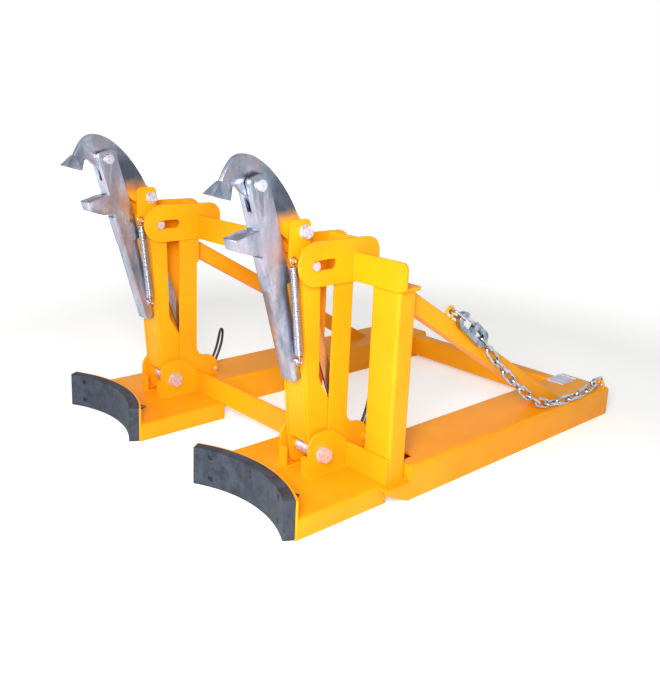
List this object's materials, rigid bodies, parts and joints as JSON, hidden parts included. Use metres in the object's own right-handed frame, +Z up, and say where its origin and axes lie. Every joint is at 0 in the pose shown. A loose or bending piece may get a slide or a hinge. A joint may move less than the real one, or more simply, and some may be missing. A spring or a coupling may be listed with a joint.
{
  "type": "drum lifter",
  "caption": "Fork-mounted drum lifter with side-by-side beak clamps, curved rubber pads, fork channels and a safety chain.",
  "frame": {"origin": "on the floor, under the middle of the bounding box", "axes": "+X from the left grab to the right grab, +Y back along the fork channels, drums at -Y, +Z up"},
  "size_m": [0.9796, 1.244, 0.7377],
  "materials": {
    "yellow_paint": "semi-gloss",
    "galvanised": "satin",
    "zinc": "satin",
    "spring_steel": "satin",
    "rubber": "matte",
    "black_handle": "gloss"
  },
  "bodies": {
    "frame": {"left_base_tray": "yellow_paint", "left_backing_plate": "yellow_paint", "left_rubber_pad": "rubber", "left_side_plate_inner": "yellow_paint", "left_lug_outer": "yellow_paint", "left_lug_inner": "yellow_paint", "left_head_cheek_outer": "yellow_paint", "left_head_cheek_inner": "yellow_paint", "left_pivot_bolt": "zinc", "right_base_tray": "yellow_paint", "right_backing_plate": "yellow_paint", "right_rubber_pad": "rubber", "right_side_plate_inner": "yellow_paint", "right_lug_outer": "yellow_paint", "right_lug_inner": "yellow_paint", "right_head_cheek_outer": "yellow_paint", "right_head_cheek_inner": "yellow_paint", "right_pivot_bolt": "zinc", "pad_screws": "zinc", "head_webs": "yellow_paint", "left_side_plate_outer": "yellow_paint", "right_side_plate_outer": "yellow_paint", "right_channel": "yellow_paint", "left_channel": "yellow_paint", "pocket_straps": "yellow_paint", "rear_beam": "yellow_paint", "upper_beams": "yellow_paint", "lower_beams": "yellow_paint", "post": "yellow_paint", "post_cap": "yellow_paint", "post_foot_plate": "yellow_paint", "right_brace": "yellow_paint", "left_brace": "yellow_paint", "left_brace_plate": "yellow_paint", "chain_eyes": "yellow_paint", "chain_links": "zinc", "hook": "zinc"},
    "left_arm": {"left_arm": "yellow_paint", "left_top_pin": "zinc", "left_beak_bracket": "yellow_paint", "left_beak_bolt": "zinc", "left_stay_bar": "galvanised", "left_spring": "spring_steel"},
    "left_beak": {"left_beak": "galvanised", "left_lever_pin": "zinc"},
    "left_lever": {"left_lever": "galvanised"},
    "left_handle": {"left_clamp_handle": "black_handle"},
    "right_arm": {"right_arm": "yellow_paint", "right_top_pin": "zinc", "right_beak_bracket": "yellow_paint", "right_beak_bolt": "zinc", "right_stay_bar": "galvanised", "right_spring": "spring_steel"},
    "right_beak": {"right_beak": "galvanised", "right_lever_pin": "zinc"},
    "right_lever": {"right_lever": "galvanised"},
    "right_handle": {"right_clamp_handle": "black_handle"},
    "hook_latch": {"hook_latch": "zinc"}
  },
  "joints": [
    {"name": "left_arm_swing", "type": "hinge", "parent": "frame", "child": "left_arm", "pos_m": [-0.31483, -0.354, 0.091], "axis": [-1, 0, 0], "range_deg": [0, 6]},
    {"name": "left_beak_tilt", "type": "hinge", "parent": "left_arm", "child": "left_beak", "pos_m": [-0.31483, -0.4055, 0.583], "axis": [-1, 0, 0], "range_deg": [0, 15], "deforming": ["left_spring"]},
    {"name": "left_lever_swing", "type": "hinge", "parent": "left_beak", "child": "left_lever", "pos_m": [-0.31483, -0.516, 0.679], "axis": [-1, 0, 0], "range_deg": [-11, 0]},
    {"name": "left_handle_turn", "type": "hinge", "parent": "frame", "child": "left_handle", "pos_m": [-0.28383, -0.222, 0.097], "axis": [1, 0, 0], "range_deg": [-50, 40]},
    {"name": "right_arm_swing", "type": "hinge", "parent": "frame", "child": "right_arm", "pos_m": [0.28517, -0.354, 0.091], "axis": [-1, 0, 0], "range_deg": [0, 6]},
    {"name": "right_beak_tilt", "type": "hinge", "parent": "right_arm", "child": "right_beak", "pos_m": [0.28517, -0.4055, 0.583], "axis": [-1, 0, 0], "range_deg": [0, 15], "deforming": ["right_spring"]},
    {"name": "right_lever_swing", "type": "hinge", "parent": "right_beak", "child": "right_lever", "pos_m": [0.28517, -0.516, 0.679], "axis": [-1, 0, 0], "range_deg": [-11, 0]},
    {"name": "right_handle_turn", "type": "hinge", "parent": "frame", "child": "right_handle", "pos_m": [0.31617, -0.222, 0.097], "axis": [1, 0, 0], "range_deg": [-50, 40]},
    {"name": "hook_latch_turn", "type": "hinge", "parent": "frame", "child": "hook_latch", "pos_m": [0.45717, -0.00577, 0.35767], "axis": [1, 0, 0], "range_deg": [0, 18], "stiffness_Nm_per_rad": 0.02, "springref_deg": -22.92}
  ],
  "couplings": [
    {"joint": "left_lever_swing", "follows": "left_beak_tilt", "ratio": -0.72},
    {"joint": "right_lever_swing", "follows": "right_beak_tilt", "ratio": -0.72}
  ]
}
